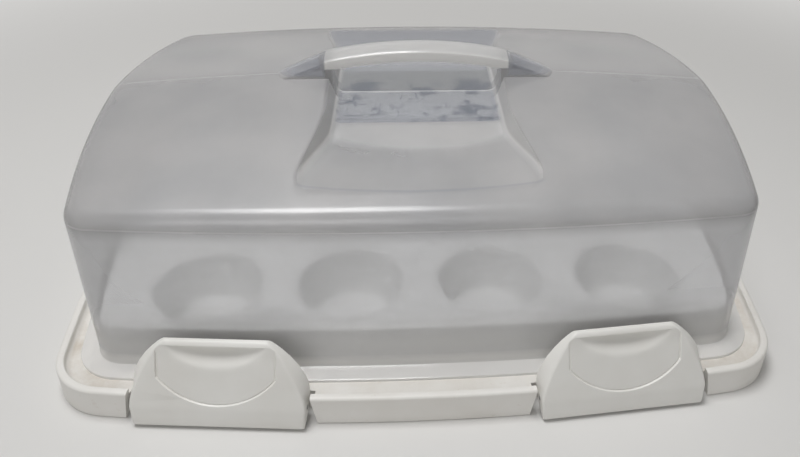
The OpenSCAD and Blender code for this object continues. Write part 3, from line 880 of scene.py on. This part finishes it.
def add_node(tree, kind, settings=None, links=()):
    """A shader node with its settings; its inputs are linked or set in order, or by name or number."""
    made = tree.nodes.new("ShaderNode" + kind)
    for name, value in (settings or {}).items():
        setattr(made, name, value)
    for key, value in links.items() if isinstance(links, dict) else enumerate(links):
        if isinstance(value, bpy.types.Node):
            value = value.outputs[0]
        if isinstance(value, bpy.types.NodeSocket):
            tree.links.new(value, made.inputs[key])
        else:
            made.inputs[key].default_value = value
    return made


def new_material(name):
    """An empty material, and the function that adds nodes to it."""
    material = bpy.data.materials.new(name)
    material.use_nodes = True
    material.node_tree.nodes.clear()
    return material, partial(add_node, material.node_tree)


def band(node, value, half, soft, centre=0.0):
    """1 where value lies within half millimetres of centre, falling to 0 over soft millimetres more."""
    away = node("Math", SIZE, [node("Math", MINUS, [value, centre * MM])])
    return node("MapRange", SOFT, [away, half * MM, (half + soft) * MM, 1.0, 0.0])


def in_turn(node, operation, *values):
    """Several values brought together by one operation."""
    result = values[0]
    for value in values[1:]:
        result = node("Math", operation, [result, value])
    return result


# Where the lid looks different, and the sizes of its patterns
WINDOW_PLACE = 18
WINDOW_HALF = 16
MARKS_PLACE = -18
MARKS_HALF = 30
CREASE_HALF = 66
BAR_FOOT = 150
FIN_FOOT = 144.7
RECESS_FOOT = 122
RECESS_SIDE = 80
RECESS_REACH = 122
SEAM_HEIGHT = CORNER_HEIGHT - 3.5
DENSE_FOOT = (FLANGE_TOP + 3, FLANGE_TOP + 14, 64)
BLOT_SIZE = 15
PATCH_SIZE = 34
HAZE_SIZE = 70

# Sizes of the patterns on the white plastic, and where dust starts and is thickest along the tray
MOTTLE_SIZE = 40
DUST_SIZE = 22
SPECK_SIZE = 6
GRAIN_SIZE = 1.6
SHEEN_SIZE = 18
DUST_SPAN = (80, 190)


def frosted_polypropylene():
    """Lid: clear polypropylene from a spark-eroded mould, milky all over, clearer on the recess floor."""
    material, node = new_material("frosted_polypropylene")
    where = node("TexCoord")
    at = where.outputs["Object"]
    x, y, z = node("SeparateXYZ", None, [at]).outputs
    facing_y, facing_z = node("SeparateXYZ", None, [where.outputs["Normal"]]).outputs[1:]
    upright = node("Math", SIZE, [facing_z])
    aside = node("Math", SIZE, [x])
    along_y = node("Math", SIZE, [y])
    across = in_turn(node, TIMES, aside, aside, 1 / MM)
    line_row, valley_row, mouth_row = (row * MM for row in RECESS_ROWS[1:4])

    # Recess floor: clearer from its straight front line to the back
    widths = [RECESS_HALF * MM, (RECESS_HALF + RECESS_FLARE) * MM]
    half = node("MapRange", SOFT, [along_y, line_row, mouth_row, *widths])
    past = node("Math", MINUS, [aside, half])
    floor = node("MapRange", SOFT, [past, -3.5 * MM, -0.5 * MM, 1.0, 0.0])
    floor = in_turn(node, TIMES, floor, band(node, z, 10, 2, RECESS_FLOOR - 2))
    behind_line = node("MapRange", SOFT, [y, -line_row - MM, -line_row, 0.0, 1.0])
    before_mouth = node("MapRange", SOFT, [along_y, mouth_row - 4 * MM, mouth_row - 2 * MM, 1.0, 0.0])
    clear_floor = in_turn(node, TIMES, floor, behind_line, before_mouth)
    window = in_turn(node, TIMES, clear_floor, band(node, y, WINDOW_HALF, 3, WINDOW_PLACE))

    # Greasy finger marks on it: blots 15 mm across, and strokes 2 to 3 mm wide in patches of 34 mm
    pattern = {"Vector": at, "Scale": 1 / (BLOT_SIZE * MM), "Detail": 3.0, "Roughness": 0.55}
    blot = node("TexNoise", None, pattern)
    blot = node("MapRange", None, [blot, 0.54, 0.62])
    strokes = []
    for turn, stretch, width, low in ((0.9, (1.0, 0.16, 1.0), 2.4, 0.63), (-0.5, (0.2, 1.0, 1.0), 3, 0.62)):
        turned = node("Mapping", None, {"Vector": at, "Rotation": (0.0, 0.0, turn), "Scale": stretch})
        stroke = node("TexNoise", None, {"Vector": turned, "Scale": 1 / (width * MM), "Detail": 2.0})
        strokes.append(node("MapRange", None, [stroke, low, 0.68]))
    patch = node("TexNoise", None, {"Vector": at, "Scale": 1 / (PATCH_SIZE * MM), "Detail": 1.0})
    patch = node("MapRange", None, [patch, 0.46, 0.56])
    marks = in_turn(node, TIMES, in_turn(node, LARGER, *strokes), patch)
    marks = in_turn(node, LARGER, blot, marks)
    marks = in_turn(node, TIMES, marks, clear_floor, band(node, y, MARKS_HALF, 14, MARKS_PLACE))

    # Field in front of that line, down to the arc where the floor turns up again, which is painted lighter as
    # a painted highlight
    arc_y = node("Math", TIMES_PLUS, [across, -VALLEY_BOW / RECESS_HALF**2, valley_row])
    short = node("Math", SUM, [arc_y, y])
    painted_field_highlight = node("MapRange", SOFT, [short, -MM, 4 * MM, 0.0, 1.0])
    before_line = node("MapRange", SOFT, [y, -line_row - MM, -line_row, 1.0, 0.0])
    painted_field_highlight = in_turn(node, TIMES, floor, painted_field_highlight, before_line)
    # A thin line along the crease at the mouth is painted darker, as painted shade in the crease
    arc_y = node("Math", TIMES_PLUS, [across, -MOUTH_BOW / RECESS_HALF**2, mouth_row])
    short = node("Math", SUM, [arc_y, y])
    crease_painted_shade = node("MapRange", SOFT, [aside, CREASE_HALF * MM, (CREASE_HALF + 6) * MM, 1.0, 0.0])
    crease_painted_shade = in_turn(node, TIMES, band(node, short, 0.5, 1.2), crease_painted_shade)

    # More plastic lies in the line of sight at the bar, the recess walls, the flange at the foot and the
    # parting lines. The wall's foot and lower part are also painted whiter, as painted light where the inside
    # lies in shade
    in_line = band(node, y, BAR_DEPTH / 2, 0.5)
    ends = [aside, BAR_HALF * MM, (BAR_HALF + 1.5) * MM]
    bar_top = node("MapRange", SOFT, [z, BAR_FOOT * MM, (BAR_FOOT + 1) * MM, 0.0, 1.0])
    bar = in_turn(node, TIMES, node("MapRange", SOFT, [*ends, 1.0, 0.0]), in_line, bar_top)
    fin_top = node("MapRange", SOFT, [z, FIN_FOOT * MM, (FIN_FOOT + 0.6) * MM, 0.0, 1.0])
    fins = in_turn(node, TIMES, node("MapRange", SOFT, [*ends, 0.0, 1.0]), in_line, fin_top)
    above = node("MapRange", SOFT, [z, RECESS_FOOT * MM, (RECESS_FOOT + 2) * MM, 0.0, 1.0])
    behind_bar = node("MapRange", SOFT, [along_y, BAR_DEPTH / 2 * MM, (BAR_DEPTH / 2 + 1) * MM, 0.0, 1.0])
    walls = node("MapRange", None, [upright, 0.96, 0.6])
    in_recess = in_turn(node, TIMES, band(node, x, RECESS_SIDE, 2), band(node, y, RECESS_REACH, 3))
    walls = in_turn(node, TIMES, walls, in_recess, above, behind_bar)
    ridge = in_turn(node, TIMES, band(node, y, 0.2, 0.5), above)
    sill = in_turn(node, TIMES, ridge, floor)
    seam = band(node, z, 0.2, 0.5, SEAM_HEIGHT)
    # Whiter at the flange, and up the wall's foot and lower part as painted light where the inside lies in
    # shade
    full, less, none = (height * MM for height in DENSE_FOOT)
    foot = node("MapRange", SOFT, [z, full, less, 1.0, 0.0])
    low = node("MapRange", SOFT, [z, less, none, 0.4, 0.0])
    # The bar's front is painted whiter than its top, as painted light on the face that the lamps light less
    bar_front_painted_light = node("MapRange", SOFT, [facing_y, -0.9, -0.3, 1.0, 0.4])
    shares = [(bar, bar_front_painted_light), (walls, 0.4), (foot, 0.85), (ridge, 0.22), (sill, 0.8), (seam, 0.25)]
    shares.append((painted_field_highlight, 0.14))
    dense = in_turn(node, LARGER, low, *(in_turn(node, TIMES, *pair) for pair in shares))

    # Colour, clarity and gloss follow those regions and a haze of 70 mm
    haze = node("TexNoise", None, {"Vector": at, "Scale": 1 / (HAZE_SIZE * MM), "Detail": 3.0})
    hazy = node("MapRange", None, [haze, 0.35, 0.65])
    # The roof is coloured darker than the walls, as painted shade on the roof and painted light on the walls
    painted_roof_shade = node("MapRange", SOFT, [z, 104 * MM, 117 * MM, 0.0, 1.0])
    thin = in_turn(node, LARGER, clear_floor, fins)
    roof = node("Mix", COLOURS, {0: hazy, 6: linear("#C2C1C1"), 7: linear("#B7B7B8")}).outputs[2]
    colour = node("Mix", COLOURS, {0: painted_roof_shade, 6: linear("#DCDCDD"), 7: roof}).outputs[2]
    layers = (
        ("#BABCC2", thin, 0.9), ("#A4A6A8", window, 0.8), ("#767C8A", marks, 0.75),
        ("#A9ACB2", crease_painted_shade, 0.5), ("#EFEEEC", dense, 1.0),
    )
    for layer, region, share in layers:
        share = node("Math", TIMES, [region, share])
        colour = node("Mix", COLOURS, {0: share, 6: colour, 7: linear(layer)}).outputs[2]
    clear = node("MapRange", SOFT, [z, 100 * MM, 118 * MM, 0.7, 0.62])
    clear = node("Math", TIMES_PLUS, [dense, -0.5, clear])
    clear = node("Math", TIMES_PLUS, [thin, 0.12, clear])
    rough = node("MapRange", SOFT, [z, 95 * MM, 118 * MM, 0.1, 0.22])
    for region, more in ((haze, 0.05), (in_turn(node, LARGER, thin, bar), -0.1), (marks, 0.04)):
        rough = node("Math", TIMES_PLUS, [region, more, rough])

    # Light reaches the inside through the plastic, as shadow rays that pass it
    shadow_ray = node("LightPath").outputs["Is Shadow Ray"]
    solid = node("Math", TIMES_PLUS, [shadow_ray, -0.93, 1.0])
    surface = node("BsdfPrincipled", None, {
        "Base Color": colour, "Roughness": rough, "IOR": 1.49, "Transmission Weight": clear, "Alpha": solid,
    })
    node("OutputMaterial", None, [surface])
    return material


def white_polypropylene(name, hex_colour, shade, dusty):
    """Tray, insert and latches: filled polypropylene, satin and faintly mottled, dusty where crumbs lie."""
    material, node = new_material(name)
    where = node("TexCoord")
    at = where.outputs["Object"]
    x, y, z = node("SeparateXYZ", None, [at]).outputs
    facing_z = node("SeparateXYZ", None, [where.outputs["Normal"]]).outputs[2]
    mottle = node("TexNoise", None, {"Vector": at, "Scale": 1 / (MOTTLE_SIZE * MM), "Detail": 4.0})
    mottle = node("MapRange", None, [mottle, 0.35, 0.7])

    # Brownish dust lies on the ledge in clouds of 22 mm, thicker towards the tray's ends, and specks of 6 mm
    pattern = {"Vector": at, "Scale": 1 / (DUST_SIZE * MM), "Detail": 5.0, "Roughness": 0.65}
    dust = node("TexNoise", None, pattern)
    dust = node("MapRange", None, [dust, 0.35, 0.75])
    level = node("MapRange", None, [facing_z, 0.6, 0.9])
    near, far = (place * MM for place in DUST_SPAN)
    outer = node("MapRange", SOFT, [node("Math", SIZE, [x]), near, far, 0.35, 1.0])
    dust = in_turn(node, TIMES, dust, band(node, z, 1.5, 3.5, LEDGE_HEIGHT), level, outer, dusty)
    pattern = {"Vector": at, "Scale": 1 / (SPECK_SIZE * MM), "Detail": 2.0, "Roughness": 0.7}
    specks = node("TexNoise", None, pattern)
    specks = in_turn(node, TIMES, node("MapRange", None, [specks, 0.66, 0.74]), 0.2 * dusty)
    colour = linear(hex_colour)
    for layer, share in ((shade, mottle), ("#B3A28C", dust), ("#B9A58C", specks)):
        colour = node("Mix", COLOURS, {0: share, 6: colour, 7: linear(layer)}).outputs[2]

    # The mould's grain is 0.3 mm, too fine to show here, so it is drawn at 1.6 mm
    grain = node("TexNoise", None, {"Vector": at, "Scale": 1 / (GRAIN_SIZE * MM), "Detail": 2.0})
    grain = node("Bump", None, {"Strength": 0.06, "Distance": 0.4 * MM, "Height": grain})
    sheen = node("TexNoise", None, {"Vector": at, "Scale": 1 / (SHEEN_SIZE * MM), "Detail": 3.0})
    rough = node("Math", TIMES_PLUS, [sheen, 0.14, 0.33])
    surface = node("BsdfPrincipled", None, {
        "Base Color": colour, "Roughness": rough, "IOR": 1.49, "Normal": grain,
    })
    node("OutputMaterial", None, [surface])
    return material


def drawn_steel():
    """Hinge pins: drawn stainless wire, with fine marks along its length."""
    material, node = new_material("drawn_stainless_steel")
    drawn = node("Mapping", None, {"Vector": node("TexCoord").outputs["Object"], "Scale": (0.05, 1.0, 1.0)})
    fine = node("TexNoise", None, {"Vector": drawn, "Scale": 1 / (0.6 * MM), "Detail": 3.0})
    colour = node("Mix", COLOURS, {0: fine, 6: linear("#B9BBBD"), 7: linear("#9EA1A4")}).outputs[2]
    rough = node("Math", TIMES_PLUS, [fine, 0.15, 0.28])
    surface = node("BsdfPrincipled", None, {"Base Color": colour, "Roughness": rough, "Metallic": 1.0})
    node("OutputMaterial", None, [surface])
    return material


# Studio, in metres and watts

FLOOR_SIZE = 12
BACKDROP_START = 0.45
BACKDROP_END = 1.1
BACKDROP_COLOUR = "#F2F1EF"
BACKDROP_STRENGTH = 0.82
SHADE_STRENGTH = 0.22
TOP_LIGHT_PLACE = (-0.25, -0.05, 1.6)
TOP_LIGHT_AIM = (0, 0, 0.05)
TOP_LIGHT_SIZE = (0.7, 0.6)
TOP_LIGHT_POWER = 14.5
FRONT_LIGHT_PLACE = (-0.4, -1.5, 0.9)
FRONT_LIGHT_AIM = (0, 0, 0.08)
FRONT_LIGHT_SIZE = (1.0, 0.6)
FRONT_LIGHT_POWER = 3.4


def make_camera():
    data = bpy.data.cameras.new("camera")
    data.sensor_width = 36
    data.lens = CAMERA_LENS
    data.shift_x, data.shift_y = CAMERA_SHIFT
    data.clip_start = 0.02
    data.clip_end = 20
    camera = bpy.data.objects.new("camera", data)
    bpy.context.scene.collection.objects.link(camera)
    yaw, pitch, roll = (math.radians(a) for a in (CAMERA_YAW, CAMERA_PITCH, CAMERA_ROLL))
    turn = Matrix.Rotation(-yaw, 4, "Z") @ Matrix.Rotation(math.pi / 2 - pitch, 4, "X")
    turn = turn @ Matrix.Rotation(roll, 4, "Z")
    camera.matrix_world = Matrix.Translation(Vector(CAMERA_PLACE) * MM) @ turn
    bpy.context.scene.camera = camera


def area_light(name, place, aim, size, power):
    data = bpy.data.lights.new(name, "AREA")
    data.shape = "RECTANGLE"
    data.size, data.size_y = size
    data.energy = power
    lamp = bpy.data.objects.new(name, data)
    bpy.context.scene.collection.objects.link(lamp)
    lamp.location = place
    lamp.rotation_mode = "QUATERNION"
    lamp.rotation_quaternion = (Vector(aim) - Vector(place)).to_track_quat("-Z", "Y")


def make_floor():
    """Pale paper around the carrier, which turns into an even backdrop further away."""
    deselect_all()
    bpy.ops.mesh.primitive_plane_add(size=FLOOR_SIZE, location=(0, 0, 0))
    floor = bpy.context.object
    floor.name = "floor"
    material, node = new_material("floor_paper")
    paper = node("BsdfPrincipled", None, {"Base Color": linear("#E3E2E0"), "Roughness": 0.9})
    away = node("VectorMath", {"operation": "LENGTH"}, [node("TexCoord").outputs["Object"]]).outputs["Value"]
    far = node("MapRange", SOFT, [away, BACKDROP_START, BACKDROP_END, 0.0, 1.0])
    far = in_turn(node, TIMES, far, node("LightPath").outputs["Is Camera Ray"])
    backdrop = node("Emission", None, {"Color": linear(BACKDROP_COLOUR), "Strength": BACKDROP_STRENGTH})
    node("OutputMaterial", None, [node("MixShader", None, [far, paper, backdrop])])
    floor.data.materials.append(material)


def make_air():
    """Pale air, which gives little light but is seen at full strength, also in the carrier and through it."""
    world = bpy.data.worlds.new("studio")
    bpy.context.scene.world = world
    world.use_nodes = True
    world.node_tree.nodes.clear()
    node = partial(add_node, world.node_tree)
    ray = node("LightPath").outputs
    shown = in_turn(node, LARGER, *(ray[f"Is {kind} Ray"] for kind in ("Camera", "Glossy", "Transmission")))
    strength = node("Math", TIMES_PLUS, [shown, BACKDROP_STRENGTH - SHADE_STRENGTH, SHADE_STRENGTH])
    air = node("Background", None, {"Color": linear(BACKDROP_COLOUR), "Strength": strength})
    node("OutputWorld", None, [air])


make_camera()
make_floor()
area_light("top_light", TOP_LIGHT_PLACE, TOP_LIGHT_AIM, TOP_LIGHT_SIZE, TOP_LIGHT_POWER)
area_light("front_light", FRONT_LIGHT_PLACE, FRONT_LIGHT_AIM, FRONT_LIGHT_SIZE, FRONT_LIGHT_POWER)
make_air()
lid_plastic = frosted_polypropylene()
tray_plastic = white_polypropylene("tray_polypropylene", "#EEECE8", "#E6E3DD", 0.55)
insert_plastic = white_polypropylene("insert_polypropylene", "#ECECEB", "#E4E4E3", 0.0)
latch_plastic = white_polypropylene("latch_polypropylene", "#EEEDE9", "#E7E5E0", 0.12)
steel = drawn_steel()
for cad_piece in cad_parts.values():
    cad_piece.data.materials.clear()
    cad_piece.data.materials.append(steel)
make_lid(lid_plastic)
make_tray(tray_plastic)
make_insert(insert_plastic)
for side, hand in ((-1, "left"), (1, "right")):
    make_latch(side, f"latch_{hand}", latch_plastic)
    make_clip(side, f"hinge_clip_{hand}", latch_plastic)
bpy.context.scene.view_settings.view_transform = "Standard"
